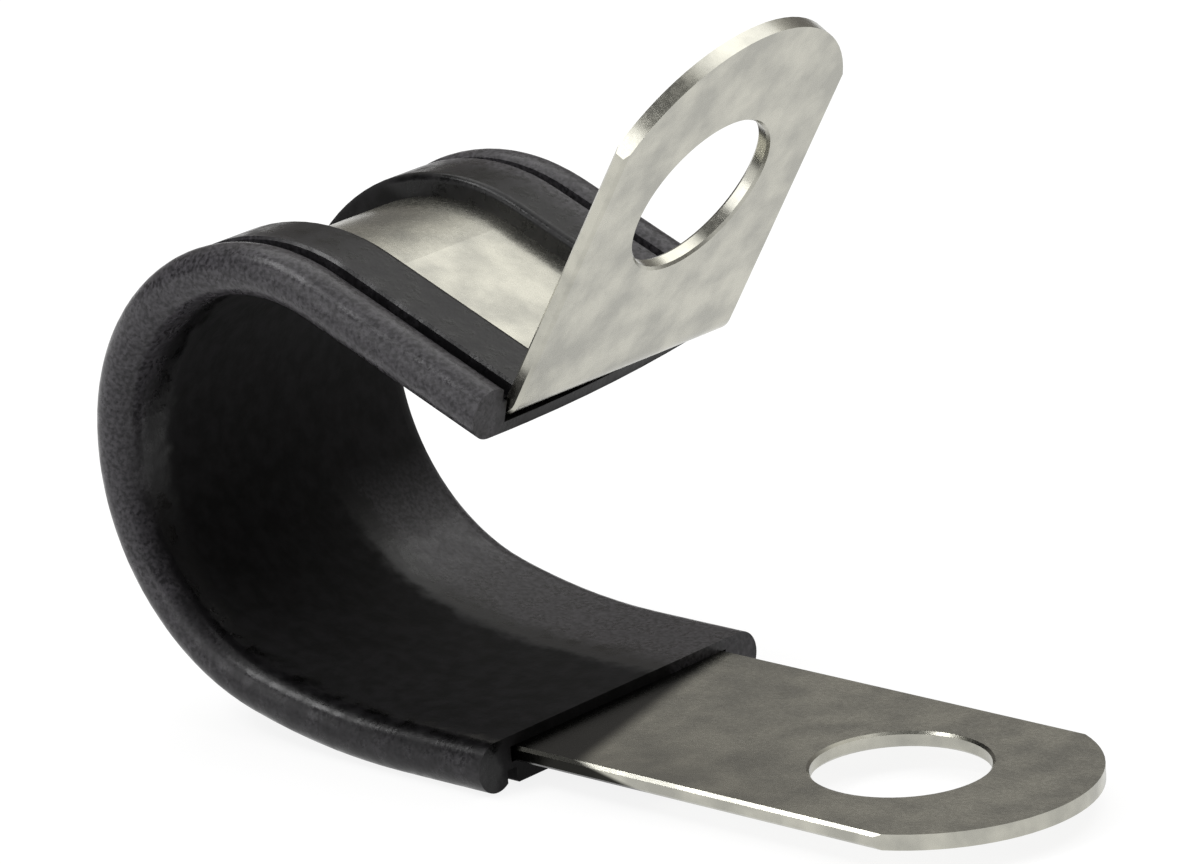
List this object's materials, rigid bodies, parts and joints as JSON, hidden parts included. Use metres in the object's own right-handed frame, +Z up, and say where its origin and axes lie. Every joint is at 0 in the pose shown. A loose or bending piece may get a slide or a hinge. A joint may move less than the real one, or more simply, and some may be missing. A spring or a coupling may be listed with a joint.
{
  "type": "rubber-lined loop clamp",
  "caption": "Loop clamp (P-clip) for a cable or hose: a bent stainless steel band with a hole in each tab, lined with a black rubber channel, sprung open as delivered.",
  "frame": {"origin": "centre of the lower fixing hole, on the underside of the lower tab", "axes": "+X along the lower tab towards its rounded end, +Y across the band along the cable, +Z up, square to the lower tab"},
  "size_m": [0.0396, 0.0158, 0.0284],
  "materials": {
    "stainless_steel": "cold-rolled strip, mottled satin, bright punched edges",
    "black_rubber": "extruded black rubber, soft sheen"
  },
  "bodies": {
    "root": {"band": "stainless_steel", "cushion": "black_rubber"}
  },
  "joints": []
}
